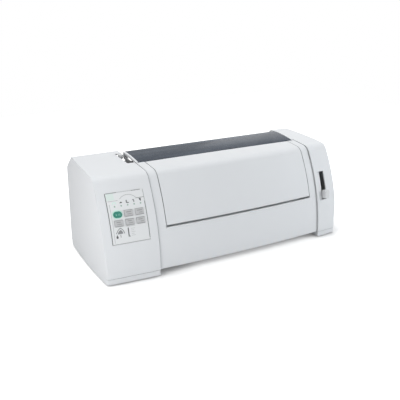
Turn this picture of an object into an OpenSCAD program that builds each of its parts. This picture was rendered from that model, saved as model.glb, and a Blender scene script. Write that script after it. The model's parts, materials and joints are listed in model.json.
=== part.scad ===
// Wide-carriage dot matrix printer with a hinged ribbon door, drop-down front cover and smoked top cover.
// X runs to the right, Y to the rear and Z up. The origin is under the middle of the machine, on the desk.
// Depths inside the modules are measured from the front plane, and from_front() moves them to the origin.

/* [Overall] */
// Width over both end housings
body_w = 626; // [618:1:634]
// Depth from the middle of the front cover to the rear wall
body_d = 275; // [271:1:283]
// Height of the rubber feet
foot_h = 3; // [2:0.5:6]
// Height at which the housings start, just above the base tray
skirt_z = 16; // [14:0.5:18]

/* [Housing curves] */
// Radius of the bow of the front, seen from above
bow_r = 3600; // [3000:50:6000]
// Radius of the front, seen from the side
front_r = 400; // [380:5:440]
// Radius where the front turns into the top
crest_r = 26; // [16:1:32]
// Radius of the slight crown of the top
crown_r = 1600; // [1400:50:2000]
// Height of the crown's highest point
crown_top = 236.8; // [234:0.2:240]
// Distance of the crown's highest point behind the front
crown_y = 269; // [255:1:280]
// Radius of the barrel-shaped outer side walls, seen from above
side_r = 1950; // [1800:50:3000]
// Radius of the upright front corners of the end housings
corner_r = 9; // [7:1:14]
// Radius of the upright rear corners
rear_r = 7; // [6:0.5:9]

/* [Shells] */
// Wall of the moulded housings
wall = 3; // [2.4:0.1:3.4]
// Width of the left end housing, which holds the operator panel
left_pod_w = 123; // [120:1:126]
// Width of the right end housing, which holds the thickness lever
right_pod_w = 59; // [57:1:62]
// Gap between an end housing and the covers beside it
seam = 2; // [1.4:0.2:2.6]
// How far the end housings stand in front of the front cover
pod_proud = 3.5; // [1:0.5:5]
// Depth of the stiffening returns along the edges of the shells
return_d = 8; // [6:0.5:9]
// Thickness of those returns
return_t = 2.5; // [2:0.1:2.8]
// Depth of the rear housing, behind the end housings
rear_cover_d = 12; // [10:1:14]
// Height of the rear housing beside the paper entry
rear_cover_z = 200; // [194:1:202]
// Height where the sloping rear of an end housing starts
rear_slope_z = 205; // [203:1:208]
// Depth of the sloping rear of an end housing
rear_slope_d = 44; // [40:1:47]

/* [Front cover and ribbon door] */
// Width of the front cover's side strips beside the door
strip_w = 20; // [18:1:24]
// Gap at the sides of the door
door_gap = 1.6; // [1.2:0.1:2.4]
// Top edge of the front cover below the door
sill_z = 106; // [100:1:112]
// Height of the finger gap under the door
finger_gap = 4.5; // [4:0.1:6]
// Radius of the finger groove behind that gap
groove_r = 12; // [10:0.5:13]
// Rear edge of the front cover's strips
strip_rear_y = 117.5; // [116:0.5:118]
// Rear edge of the door
door_rear_y = 116.5; // [114:0.5:117]
// Depth of the front cover's hinge pins behind the front
cover_hinge_y = 18; // [17:0.5:20]
// Height of the front cover's hinge pins
cover_hinge_z = 27; // [26:0.5:30]
// Depth of the door's hinge pins behind the front
door_hinge_y = 112; // [111:0.5:112.5]
// Height of the door's hinge pins
door_hinge_z = 223; // [222.5:0.1:223.4]

/* [Smoked top cover] */
// Front edge of the top cover
top_y0 = 119; // [118.5:0.5:120]
// Height of its upper face at the front edge
top_z0 = 230; // [229:0.2:231]
// Rear edge of the top cover
top_y1 = 190; // [186:1:192]
// Height of its upper face at the rear edge
top_z1 = 239; // [237:0.2:240]
// Radius of its crown
top_r = 420; // [380:10:600]
// Thickness of the smoked window
window_t = 2.5; // [2:0.1:3]
// Width of the white side frames
side_frame_w = 5; // [4:0.5:6]
// Height of the white side frames
side_frame_h = 5.5; // [5:0.5:5.5]
// Height of the top cover's hinge pins
top_hinge_z = 229; // [228.5:0.5:229.5]

/* [Operator panel] */
// Distance of the panel from the machine's left side
panel_inset = 19; // [16:1:21]
// Width of the panel
panel_w = 85; // [84:1:90]
// Bottom edge of the panel
panel_z0 = 89; // [86:1:94]
// Top edge of the panel
panel_z1 = 193; // [190:1:200]
// Thickness of the panel plate
panel_t = 1.6; // [1.2:0.1:2]
// How deep the panel lies below the housing's face
panel_sink = 0.4; // [0:0.1:0.8]
// Width of a button
button_w = 18.5; // [16:0.5:20]
// Height of a button
button_h = 12.5; // [10:0.5:13.5]
// Clearance round a button
button_gap = 0.5; // [0.3:0.1:0.8]
// How far a button stands out of the panel
button_out = 1.8; // [1.2:0.1:3]
// Travel of a button
button_travel = 1.2; // [0.8:0.1:1.5]

/* [Print mechanism] */
// Depth of the platen's axis behind the front
platen_y = 150; // [149:0.5:151]
// Height of the platen's axis
platen_z = 180; // [179:0.5:181]
// Radius of the rubber platen
platen_r = 18; // [17:0.5:18.5]
// Radius of the platen's steel shaft
shaft_r = 6; // [5:0.5:7]
// Radius of the carriage shaft
rod_r = 5; // [4:0.5:6]
// Running clearance round every shaft, on the radius
run_gap = 0.06; // [0.03:0.01:0.09]
// Gap between the platen and the print head's nose
head_gap = 2.4; // [2:0.1:3]

/* [Gear train] */
// Module of the gears, on which every tooth depends
gear_m = 1; // [0.95:0.01:1.02]
// Thickness of the gears
gear_t = 6; // [5:0.5:7]
// Teeth of the platen gear
platen_teeth = 44; // [44:2:44]
// Teeth of the thumb wheel's gear
knob_teeth = 26; // [26:2:26]
// Teeth of the idler gear
idler_teeth = 36; // [36:2:36]
// Teeth of the tractor gear
tractor_teeth = 32; // [32:2:32]
// Teeth of the feed motor's pinion
pinion_teeth = 14; // [14:2:14]

/* [Hidden] */

eps = 0.01;
far = 400;                 // longer than any cut needs to be
fine = 720;                // for the large radii
smooth = 64;               // for shafts and bosses
rest_gap = 0.3;            // between pieces of different bodies that pass or rest on each other
half_w = body_w / 2;
pod_d = body_d - rear_cover_d - 0.5;        // rear face of the end housings
bay_x0 = -half_w + left_pod_w + seam;       // the bay between the end housings
bay_x1 = half_w - right_pod_w - seam;
bay_w = bay_x1 - bay_x0;
print_x = (bay_x0 + bay_x1) / 2;            // middle of the print line
panel_x0 = panel_inset - half_w;
door_x0 = bay_x0 + strip_w + door_gap;
door_x1 = bay_x1 - strip_w - door_gap;
door_z0 = sill_z + finger_gap;
bow_span = 12;             // degrees of the bow that cover the whole width
plate_t = 2;               // steel side plates
plate_gap = 6;             // room for the top cover's side frames beside the plates
plate_x0 = bay_x0 + plate_gap;              // outer faces of the side plates
plate_x1 = bay_x1 - plate_gap;
plate_y0 = 58;             // front and rear edges of the side plates and the pan
plate_y1 = 236;

// ---------------------------------------------------------------- curves

// Upper left point where the circles (a, ra) and (b, rb) meet
function meet(a, ra, b, rb) =
    let (d = norm(b - a), u = (b - a) / d, m = (ra * ra - rb * rb + d * d) / (2 * d))
    a + u * m + [u.y, -u.x] * sqrt(ra * ra - m * m);
function bearing(from, to) = atan2(to.y - from.y, to.x - from.x);
// How far the bow recedes at a distance x from the middle
function bow(x) = bow_r - sqrt(bow_r * bow_r - x * x);
// Depth of the front cover's face at height z, in the middle
function face_y(z) = front_r - sqrt(front_r * front_r - pow(z - skirt_z, 2));
// Height of the crown at depth y
function crown_z(y) = crown_top - crown_r + sqrt(crown_r * crown_r - pow(y - crown_y, 2));

front_c = [front_r, skirt_z];
crown_c = [crown_y, crown_top - crown_r];
soft = 0.08;               // a corner arc crosses its neighbours this far out, at 4 degrees, so that it cuts cleanly
crest_c = meet(front_c, front_r - crest_r + soft, crown_c, crown_r - crest_r + soft);

module disc(c, r) { translate(c) circle(r = r, $fn = fine); }

// What a round corner of radius r takes away between the bearings a0 and a1 from its centre c
module corner_cut(c, r, a0, a1) {
    difference() {
        polygon([for (p = [[0, 0], [3, a0], [4, (a0 + a1) / 2], [3, a1]]) c + r * p.x * [cos(p.y), sin(p.y)]]);
        disc(c, r);
    }
}

// Side view of the housing, drawn in by t, from height z0 up
module side_view(t, z0 = skirt_z) {
    difference() {
        intersection() {
            disc(front_c, front_r - t);
            disc(crown_c, crown_r - t);
            translate([0, z0]) square([body_d + 20, far]);
        }
        corner_cut(crest_c, crest_r - t, bearing(crown_c, crest_c), bearing(front_c, crest_c));
    }
}

// Turns a side view into a bowed solid, moved forward by proud
module bowed(proud = 0) {
    translate([0, bow_r, 0]) rotate([0, 0, -90 - bow_span / 2])
        rotate_extrude(angle = bow_span, $fn = fine)
            translate([bow_r + proud, 0]) mirror([1, 0]) children();
}

module box(x0, x1, y0, y1, z0, z1) {
    translate([x0, y0, z0]) cube([x1 - x0, y1 - y0, z1 - z0]);
}

// Part of the bowed skin between the depths t0 and t1 below its face
module skin(t0, t1, x0, x1, z0, z1, y1, proud = 0) {
    intersection() {
        bowed(proud) difference() {
            side_view(t0);
            side_view(t1, skirt_z - 1);
        }
        box(x0, x1, -20, y1, z0, z1);
    }
}

// Round bar along X from x0 to x1
module bar_x(x0, x1, y, z, r, fn = smooth) {
    translate([x0, y, z]) rotate([90, 0, 90]) cylinder(h = x1 - x0, r = r, $fn = fn);
}

// Shape drawn in Y and Z and pushed along X from x0 to x1
module along_x(x0, x1) {
    translate([x0, 0, 0]) rotate([90, 0, 90]) linear_extrude(x1 - x0) children();
}

module from_front() { translate([0, -body_d / 2, 0]) children(); }
module plastic() { color([0.90, 0.90, 0.89]) children(); }
module dark_plastic() { color([0.20, 0.21, 0.23]) children(); }
module grey_plastic() { color([0.62, 0.63, 0.65]) children(); }
module steel() { color([0.72, 0.73, 0.75]) children(); }
module rubber() { color([0.12, 0.12, 0.13]) children(); }

// ---------------------------------------------------------------- outline seen from above

side_y = bow_r - sqrt(pow(bow_r + pod_proud - corner_r + soft, 2) - pow(half_w - corner_r, 2));
side_c = [side_r - half_w, side_y];
bow_c = [0, bow_r];
front_corner = [corner_r - half_w - soft, side_y];
rear_corner = [side_c.x - sqrt(pow(side_r - rear_r + soft, 2) - pow(body_d - rear_r - side_y, 2)),
    body_d - rear_r + soft];

// Outline of the whole machine, drawn in by e, with its front ahead of the bow
module plan_view(e = 0, ahead = 0) {
    difference() {
        intersection() {
            disc(side_c, side_r - e);
            disc([-side_c.x, side_c.y], side_r - e);
            disc(bow_c, bow_r + pod_proud + ahead - e);
            translate([-far, -20]) square([2 * far, body_d - e + 20]);
        }
        for (s = [0, 1]) mirror([s, 0]) {
            corner_cut(front_corner, corner_r - e, 180, bearing(bow_c, front_corner) + 360);
            corner_cut(rear_corner, rear_r - e, 90, bearing(side_c, rear_corner));
        }
    }
}

// Side view that gives the end housings their sloping rear, drawn in by e
module rear_view(e = 0) {
    slope_y = pod_d - rear_slope_d;
    polygon([[-20, 0], [pod_d - e, 0], [pod_d - e, rear_slope_z - 4], [pod_d - 2.5 - e, rear_slope_z + 2 - e],
        [slope_y, crown_z(slope_y) - 1 - e], [slope_y - 5, crown_z(slope_y) + 1 - e], [-20, far]]);
}

// Outer solid of the left end housing, drawn in by t and reaching to x1
module pod_solid(t, x1, z0) {
    intersection() {
        bowed(pod_proud) side_view(t, z0);
        translate([0, 0, z0]) linear_extrude(far) plan_view(t, 1);
        along_x(-half_w - 1, x1) rear_view(t);
    }
}

// Shell of an end housing, open below and toward the bay, with a return along the seam
module pod_shell(w) {
    x1 = -half_w + w;
    difference() {
        pod_solid(0, x1, skirt_z);
        pod_solid(wall, x1 - return_t, skirt_z - 1);
        along_x(x1 - return_t - 1, x1 + 1) intersection() {
            translate([bow(x1) - pod_proud, 0]) side_view(return_d, skirt_z - 1);
            rear_view(return_d);
        }
    }
}

// ---------------------------------------------------------------- housings

recess_y = 44;             // the tray stops here under the front cover
lip_h = 5;                 // the tray's lip stands this high inside the housings
lip_t = 1.5;
tray_floor = 2.5;
tray_inset = 0.8;          // the tray lies this far inside the housings' outline

module tray_plan(e) {
    difference() {
        plan_view(e);
        translate([bay_x0 - seam - e, -20]) square([bay_w + 2 * seam + 2 * e, recess_y + 20 + e]);
    }
}

// Ear that carries the front cover's hinge pin
module hinge_ear(x) {
    difference() {
        union() {
            bar_x(x, x + 5, cover_hinge_y, cover_hinge_z, 6);
            box(x, x + 5, cover_hinge_y, recess_y + 4, cover_hinge_z - 6, cover_hinge_z + 6);
            box(x, x + 5, recess_y, recess_y + 4, foot_h + tray_floor, cover_hinge_z);
        }
        bar_x(x - 1, x + 6, cover_hinge_y, cover_hinge_z, cover_pin_r + run_gap);
    }
}
cover_pin_r = 3;
cover_lug_x = [bay_x0 + 6.5, bay_x1 - 11.5];    // lugs of the front cover, 5 wide
ear_x = [bay_x0 + 12, bay_x1 - 17];         // ears of the tray, just inboard of the lugs

module base_tray() {
    plastic() from_front() {
        difference() {
            translate([0, 0, foot_h]) linear_extrude(skirt_z - 1 - foot_h) tray_plan(tray_inset);
            translate([0, 0, foot_h + tray_floor]) linear_extrude(far) tray_plan(tray_inset + wall);
        }
        difference() {
            translate([0, 0, foot_h + 1]) linear_extrude(skirt_z + lip_h - foot_h - 1) difference() {
                tray_plan(wall + rest_gap);
                tray_plan(wall + rest_gap + lip_t);
            }
            box(-far, far, pod_d - return_d - 1, body_d, skirt_z - 1, far);
        }
        for (x = ear_x) hinge_ear(x);
    }
}

foot_r = 9;
foot_places = [for (x = [-half_w + 32, half_w - 28], y = [36, body_d - 30]) [x, y]];

module rubber_feet() {
    rubber() from_front() for (p = foot_places) translate([p.x, p.y, 0])
        cylinder(h = foot_h, r1 = foot_r - 0.8, r2 = foot_r, $fn = 48);
}

// Notch in the top of the left end housing, beside the top cover
notch_y0 = 122;
notch_y1 = 194;
notch_w = 17;
notch_x0 = -half_w + left_pod_w - notch_w;

button_x = [for (i = [0:2]) panel_x0 + 20 + i * 24.3];
button_z = [150, 132];
lamp_z = 166;
lamp_x = [for (i = [0:4]) panel_x0 + 17 + i * 14.4];
lamp_r = 1.6;

// Outline of a button, grown by e; the start button has round ends
module key_prism(column, row, e = 0) {
    x = button_x[column];
    z = button_z[row];
    w = button_w / 2 + e;
    h = button_h / 2 + e;
    if (column == 0 && row == 0) {
        box(x - w + h, x + w - h, -20, 90, z - h, z + h);
        for (s = [-1, 1]) bar_y(x + s * (w - h), -20, 90, z, h, smooth);
    } else
        box(x - w, x + w, -20, 90, z - h, z + h);
}

// Holes for the buttons, through the panel or the housing
module button_holes(clear) {
    for (column = [0:2], row = [0:1]) key_prism(column, row, clear);
}

module left_end_housing() {
    plastic() from_front() difference() {
        pod_shell(left_pod_w);
        skin(-1, panel_sink + panel_t + 0.1, panel_x0 - 0.2, panel_x0 + panel_w + 0.2,
            panel_z0 - 0.2, panel_z1 + 0.2, 90, pod_proud);
        button_holes(button_gap + 0.6);
        for (x = lamp_x) bar_y(x, -20, 90, lamp_z, lamp_r + 0.5);
        box(notch_x0, bay_x0, notch_y0, notch_y1, 190, far);
    }
}

// Round bar along Y from y0 to y1
module bar_y(x, y0, y1, z, r, fn = 32) {
    translate([x, y1, z]) rotate([90, 0, 0]) cylinder(h = y1 - y0, r = r, $fn = fn);
}

// Slot of the thickness lever
slot_x0 = half_w - 42;
slot_w = 14;
slot_z0 = 95;
slot_z1 = 163;
slot_recess_w = 8;         // shallow recess beside the slot
slot_recess = 1.5;

module right_end_housing() {
    plastic() from_front() difference() {
        mirror([1, 0, 0]) pod_shell(right_pod_w);
        box(slot_x0, slot_x0 + slot_w, -20, 70, slot_z0, slot_z1);
        skin(-1, slot_recess, slot_x0 - slot_recess_w, slot_x0 + 1, slot_z0, slot_z1, 70, pod_proud);
    }
}

// Rear housing between the end housings, with the paper entry above it
rear_top_z = 150;
rear_lip_d = 34;           // floor of the paper entry
inlet_x = bay_x0 + 46;
inlet_z = 52;
switch_x = inlet_x + 42;
parallel_x = bay_x1 - 68;
serial_x = parallel_x - 76;
port_z = 58;
inlet_w = 28;
inlet_h = 20;
switch_w = 17.4;
switch_h = 14;
parallel_w = 66;
parallel_h = 14;
serial_w = 31;
serial_h = 12.5;
port_fit = 0.2;            // clearance of the inlet, switch and ports in the rear wall

module rear_hole(x, z, w, h) {
    box(x - w / 2, x + w / 2, body_d - wall - 1, body_d + 1, z - h / 2, z + h / 2);
}

// Part of the rear housing behind an end housing, hollow and open to the front and below
module rear_wing(x0, x1, t0, t1) {
    difference() {
        translate([0, 0, skirt_z]) linear_extrude(rear_cover_z - skirt_z) intersection() {
            plan_view();
            translate([x0, body_d - rear_cover_d]) square([x1 - x0, rear_cover_d + 1]);
        }
        translate([0, 0, skirt_z - 1]) linear_extrude(rear_cover_z - wall - skirt_z + 1) intersection() {
            plan_view(wall);
            translate([x0 + t0, body_d - rear_cover_d - 1]) square([x1 - x0 - t0 - t1, rear_cover_d + 1]);
        }
    }
}

module rear_housing() {
    plastic() from_front() difference() {
        union() {
            box(bay_x0 - 1, bay_x1 + 1, body_d - wall, body_d, skirt_z, rear_top_z);
            box(bay_x0 - 1, bay_x1 + 1, body_d - rear_lip_d, body_d, rear_top_z - wall, rear_top_z);
            rear_wing(-half_w - 1, bay_x0, 0, wall);
            rear_wing(bay_x1, half_w + 1, wall, 0);
            for (i = [1:6])
                box(bay_x0 + i * bay_w / 7, bay_x0 + i * bay_w / 7 + 2, body_d - rear_cover_d, body_d,
                    rear_top_z - 24, rear_top_z);
            for (z = [inlet_z - switch_h / 2 - 3.5, inlet_z + switch_h / 2 + 0.5])
                box(switch_x - 3, switch_x + 3, body_d - wall - 3, body_d - wall, z, z + 3);
        }
        rear_hole(inlet_x, inlet_z, inlet_w, inlet_h);
        rear_hole(switch_x, inlet_z, switch_w, switch_h);
        rear_hole(parallel_x, port_z, parallel_w, parallel_h);
        rear_hole(serial_x, port_z, serial_w, serial_h);
        bar_z(switch_x, body_d - 4, inlet_z - switch_h, inlet_z + switch_h, 0.9 + run_gap, 32);
        for (i = [0:9]) rear_hole(print_x - 52 + i * 7, port_z + 34, 3, 34);
        for (x = screw_x) bar_y(x, body_d - wall - 1, body_d + 1, screw_z, screw_r + port_fit);
    }
}
screw_x = [bay_x0 + 12, print_x, bay_x1 - 12];
screw_z = 122;
screw_r = 1.6;

module housing_screws() {
    steel() from_front() for (x = screw_x) {
        bar_y(x, body_d - wall - 8, body_d + 0.1, screw_z, screw_r);
        difference() {
            bar_y(x, body_d, body_d + 1.6, screw_z, 3.2);
            for (a = [0, 90]) translate([x, body_d + 1.6, screw_z]) rotate([0, a, 0]) cube([3.4, 1.6, 0.8], center = true);
        }
    }
}

// ---------------------------------------------------------------- front cover and ribbon door

groove_t = 2;
// Centre of the finger groove in the side view
groove_c = [face_y(sill_z) + wall + groove_r - 2, sill_z];
door_pin_r = 2;
foot_return_d = 5;         // shallow, so that it swings under the tray's hinge ears

module front_cover() {
    plastic() from_front() difference() {
        union() {
            difference() {
                union() {
                    skin(0, wall, bay_x0, bay_x1, skirt_z, far, strip_rear_y);
                    for (x = [bay_x0, bay_x1 - return_t, bay_x0 + strip_w - return_t, bay_x1 - strip_w])
                        skin(0, return_d, x, x + return_t, skirt_z, far, strip_rear_y);
                    skin(0, foot_return_d, bay_x0, bay_x1, skirt_z, skirt_z + return_t, strip_rear_y);
                }
                box(bay_x0 + strip_w, bay_x1 - strip_w, -20, far, sill_z, far);
            }
            intersection() {
                bowed() difference() {
                    translate(groove_c) circle(r = groove_r + groove_t, $fn = smooth);
                    translate(groove_c) circle(r = groove_r, $fn = smooth);
                }
                box(bay_x0 + strip_w, bay_x1 - strip_w, -20, far, 0, sill_z);
            }
            for (x = cover_lug_x) {
                bar_x(x, x + 5, cover_hinge_y, cover_hinge_z, 5);
                box(x, x + 5, face_y(cover_hinge_z) + bow(x) + 1, cover_hinge_y, cover_hinge_z - 5, cover_hinge_z + 5);
            }
            bar_x(cover_lug_x[0], ear_x[0] + 5.5, cover_hinge_y, cover_hinge_z, cover_pin_r);
            bar_x(ear_x[1] - 0.5, cover_lug_x[1] + 5, cover_hinge_y, cover_hinge_z, cover_pin_r);
            for (x = [bay_x0 + strip_w - 7, bay_x1 - strip_w + 1]) {
                bar_x(x, x + 6, door_hinge_y, door_hinge_z, door_pin_r + 2.2);
                box(x, x + 6, door_hinge_y - 4, door_hinge_y + 4, door_hinge_z, crown_z(door_hinge_y) - 2);
            }
        }
        bar_x(bay_x0 + strip_w - 8, bay_x0 + strip_w + 1, door_hinge_y, door_hinge_z, door_pin_r + run_gap);
        bar_x(bay_x1 - strip_w - 1, bay_x1 - strip_w + 8, door_hinge_y, door_hinge_z, door_pin_r + run_gap);
    }
}

module ribbon_door() {
    plastic() from_front() {
        skin(0, wall, door_x0, door_x1, door_z0, far, door_rear_y);
        for (x = [door_x0, door_x1 - return_t])
            skin(0, return_d, x, x + return_t, door_z0, far, door_rear_y);
        skin(0, return_d, door_x0, door_x1, door_z0, door_z0 + return_t, door_rear_y);
        for (i = [1:5]) let (x = door_x0 + i * (door_x1 - door_x0) / 6)
            skin(wall / 2, return_d - 1, x, x + 1.6, door_z0, far, door_rear_y - 6);
        bar_x(bay_x0 + strip_w - 6, door_x0 + 6, door_hinge_y, door_hinge_z, door_pin_r);
        bar_x(door_x1 - 6, bay_x1 - strip_w + 6, door_hinge_y, door_hinge_z, door_pin_r);
        for (x = [door_x0, door_x1 - 6]) {
            bar_x(x, x + 6, door_hinge_y, door_hinge_z, door_pin_r + 2);
            box(x, x + 6, door_hinge_y - 4, door_hinge_y + 4, door_hinge_z, crown_z(door_hinge_y) - 2);
        }
    }
}

// ---------------------------------------------------------------- smoked top cover

top_x0 = bay_x0 + 0.6;
top_x1 = bay_x1 - 0.6;
top_hinge_y = top_y1 - 5;
top_pin_r = 2;
top_ear_r = 4.3;
top_chord = norm([top_y1 - top_y0, top_z1 - top_z0]);
top_tilt = atan2(top_z1 - top_z0, top_y1 - top_y0);
// Centre of the top cover's crown in the side view
top_c = [(top_y0 + top_y1) / 2, (top_z0 + top_z1) / 2]
    + sqrt(top_r * top_r - top_chord * top_chord / 4) * [sin(top_tilt), -cos(top_tilt)];
bar_t = 2;                 // thickness of the front crossbar under the window
// Height at depth y of the face that lies t below the top cover's upper face
function top_z(y, t) = top_c.y + sqrt(pow(top_r - t, 2) - pow(y - top_c.x, 2));

// Band of the top cover between the depths t0 and t1 below its upper face
module top_band(t0, t1, y0 = top_y0, y1 = top_y1) {
    intersection() {
        difference() {
            translate(top_c) circle(r = top_r - t0, $fn = fine);
            translate(top_c) circle(r = top_r - t1, $fn = fine);
        }
        translate([y0, 200]) square([y1 - y0, 60]);
    }
}

module top_cover_frame() {
    plastic() from_front() {
        for (x = [top_x0, top_x1 - side_frame_w]) along_x(x, x + side_frame_w) {
            top_band(0, side_frame_h);
            translate([top_hinge_y, top_hinge_z]) circle(r = top_ear_r, $fn = smooth);
            translate([top_hinge_y - top_ear_r, top_hinge_z])
                square([2 * top_ear_r, top_z(top_hinge_y, 2) - top_hinge_z]);
        }
        along_x(top_x0 + side_frame_w - eps, top_x1 - side_frame_w + eps)
            top_band(window_t, window_t + 3, top_y1 - 3);
        along_x(top_x0 + side_frame_w - eps, top_x1 - side_frame_w + eps)
            top_band(window_t, window_t + bar_t, top_y0 + 1, top_y0 + 5);
        bar_x(top_x0 + side_frame_w - 1, plate_x0 + plate_t + 1, top_hinge_y, top_hinge_z, top_pin_r);
        bar_x(plate_x1 - plate_t - 1, top_x1 - side_frame_w + 1, top_hinge_y, top_hinge_z, top_pin_r);
    }
}

module top_cover_window() {
    color([0.22, 0.25, 0.29, 0.75]) from_front()
        along_x(top_x0 + side_frame_w, top_x1 - side_frame_w) top_band(0, window_t);
}

// ---------------------------------------------------------------- operator panel

module operator_panel() {
    color([0.86, 0.88, 0.88]) from_front() difference() {
        skin(panel_sink, panel_sink + panel_t, panel_x0, panel_x0 + panel_w, panel_z0, panel_z1, 90, pod_proud);
        button_holes(button_gap);
        for (x = lamp_x) bar_y(x, -20, 90, lamp_z, lamp_r);
    }
}

module status_lamps() {
    color([0.45, 0.75, 0.35]) from_front() for (x = lamp_x) intersection() {
        bar_y(x, 0, 90, lamp_z, lamp_r);
        skin(panel_sink - 0.4, 9, x - 3, x + 3, lamp_z - 3, lamp_z + 3, 90, pod_proud);
    }
}

// A button: a cap that follows the panel's curve, with a stem and a stop flange behind the housing
module button(column, row, tint) {
    x = button_x[column];
    z = button_z[row];
    face = face_y(z) + bow(x) - pod_proud;
    color(tint) from_front() {
        intersection() {
            skin(panel_sink - button_out, wall + 1, x - button_w, x + button_w, z - 20, z + 20, 90, pod_proud);
            key_prism(column, row);
        }
        bar_y(x, face + wall, face + wall + 12, z, 3);
        skin(wall + rest_gap, wall + 2, x - button_w / 2 - 1.8, x + button_w / 2 + 1.8,
            z - button_h / 2 - 1.8, z + button_h / 2 + 1.8, 90, pod_proud);
    }
}
grey_key = [0.66, 0.68, 0.70];

module start_button() { button(0, 0, [0.20, 0.62, 0.42]); }
module tear_off_button() { button(1, 0, grey_key); }
module feed_button() { button(2, 0, grey_key); }
module font_button() { button(0, 1, grey_key); }
module pitch_button() { button(1, 1, grey_key); }
module setup_button() { button(2, 1, grey_key); }

// ---------------------------------------------------------------- levers

lever_y = 90;
lever_z = 110;
lever_x = slot_x0 + slot_w / 2;
lever_t = 4;
pivot_r = 4;
lever_reach = 72;          // from the pivot to the housing's face
lever_knob = [12, 13, 20];

module thickness_lever() {
    grey_plastic() from_front() difference() {
        union() {
            bar_x(lever_x - lever_t / 2, lever_x + lever_t / 2, lever_y, lever_z, 9);
            along_x(lever_x - lever_t / 2, lever_x + lever_t / 2)
                polygon([[lever_y, lever_z - 8], [lever_y, lever_z + 8], [lever_y - lever_reach, lever_z + 3],
                    [lever_y - lever_reach, lever_z - 5]]);
            translate([lever_x, lever_y - lever_reach - lever_knob.y / 2 + 1, lever_z - 1]) difference() {
                cube(lever_knob, center = true);
                for (s = [-1, 1]) translate([0, -lever_knob.y / 2, s * (lever_knob.z / 2 + 9)])
                    rotate([0, 90, 0]) cylinder(h = lever_knob.x + 2, r = 10.5, center = true, $fn = smooth);
            }
        }
        bar_x(lever_x - 20, lever_x + 20, lever_y, lever_z, pivot_r + run_gap);
    }
}

select_y = 176;
select_z = 196;
select_x = notch_x0 + 7;
select_t = 4;

module paper_select_lever() {
    grey_plastic() from_front() difference() {
        union() {
            bar_x(select_x - select_t / 2, select_x + select_t / 2, select_y, select_z, 8);
            along_x(select_x - select_t / 2, select_x + select_t / 2)
                polygon([[select_y - 7, select_z], [select_y + 7, select_z],
                    [select_y + 4, select_z + 34], [select_y - 4, select_z + 34]]);
            translate([select_x, select_y, select_z + 37]) cube([8, 13, 9], center = true);
        }
        bar_x(select_x - 20, select_x + 20, select_y, select_z, pivot_r + run_gap);
    }
}

// Pivot pins of both levers, on the chassis plates
module lever_pivot_pins() {
    steel() from_front() {
        bar_x(plate_x1, lever_x + lever_t / 2 + 3, lever_y, lever_z, pivot_r);
        bar_x(lever_x + lever_t / 2 + rest_gap, lever_x + lever_t / 2 + 3, lever_y, lever_z, pivot_r + 2);
        bar_x(select_x - select_t / 2 - 3, plate_x0, select_y, select_z, pivot_r);
        bar_x(select_x - select_t / 2 - 3, select_x - select_t / 2 - rest_gap, select_y, select_z, pivot_r + 2);
    }
}

// ---------------------------------------------------------------- gear train geometry

function pitch_r(teeth) = teeth * gear_m / 2;
// Place at a distance of both pitch radii from a gear, in the direction a
function beside(c, t0, t1, a) = c + (pitch_r(t0) + pitch_r(t1)) * [cos(a), sin(a)];
// Turn of the next gear, so that its gap meets the first gear's tooth
function in_mesh(turn, a, t0, t1) = a + 180 - 180 / t1 - (turn - a) * t0 / t1;

knob_dir = 105;
idler_dir = -35;
tractor_dir = 20;
pinion_dir = -100;
platen_c = [platen_y, platen_z];
knob_c = beside(platen_c, platen_teeth, knob_teeth, knob_dir);
idler_c = beside(platen_c, platen_teeth, idler_teeth, idler_dir);
tractor_c = beside(idler_c, idler_teeth, tractor_teeth, tractor_dir);
pinion_c = beside(idler_c, idler_teeth, pinion_teeth, pinion_dir);
knob_turn = in_mesh(0, knob_dir, platen_teeth, knob_teeth);
idler_turn = in_mesh(0, idler_dir, platen_teeth, idler_teeth);
tractor_turn = in_mesh(idler_turn, tractor_dir, idler_teeth, tractor_teeth);
pinion_turn = in_mesh(idler_turn, pinion_dir, idler_teeth, pinion_teeth);
pan_z = skirt_z + 4;       // top of the chassis pan, on which the side plates stand
gear_x1 = plate_x0 - 1.5;                  // the gears lie outside the left plate
gear_x0 = gear_x1 - gear_t;
carriage_y = 100;
carriage_z = 150;
rod_y = 200;
rod_z = 150;
rod2_r = 4;
tractor_journal_r = 4.5;

// Spur gear in the Y-Z plane with its first tooth at the given turn
module gear(c, teeth, turn, x0, x1, bore) {
    p = 360 / teeth;
    r0 = pitch_r(teeth) - 1.2 * gear_m;
    r1 = pitch_r(teeth) + 0.9 * gear_m;
    along_x(x0, x1) translate(c) difference() {
        polygon([for (i = [0:teeth - 1], q = [[r0, -0.30], [r1, -0.11], [r1, 0.11], [r0, 0.30]])
            q.x * [cos(turn + (i + q.y) * p), sin(turn + (i + q.y) * p)]]);
        if (bore > 0) circle(r = bore, $fn = smooth);
    }
}

module platen_gear() {
    grey_plastic() from_front() {
        difference() {
            gear(platen_c, platen_teeth, 0, gear_x0, gear_x1, shaft_r);
            for (a = [0:60:300]) bar_x(gear_x0 - 1, gear_x1 + 1, platen_y + 13 * cos(a + 30),
                platen_z + 13 * sin(a + 30), 4, 32);
        }
    }
}

wheel_x0 = notch_x0 + 1.5;
wheel_r = 17;
module knob_wheel() {
    dark_plastic() from_front() difference() {
        union() {
            gear(knob_c, knob_teeth, knob_turn, gear_x0, gear_x1, 0);
            along_x(wheel_x0, gear_x0 - 2.5) translate(knob_c) difference() {
                circle(r = wheel_r, $fn = smooth);
                for (a = [0:12:348]) rotate(a) translate([wheel_r + 0.4, 0]) circle(r = 1.1, $fn = 8);
            }
            bar_x(gear_x0 - 3, gear_x0 + 1, knob_c.x, knob_c.y, 7);
        }
        bar_x(wheel_x0 - 1, gear_x1 + 1, knob_c.x, knob_c.y, 3 + run_gap);
    }
}

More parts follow.
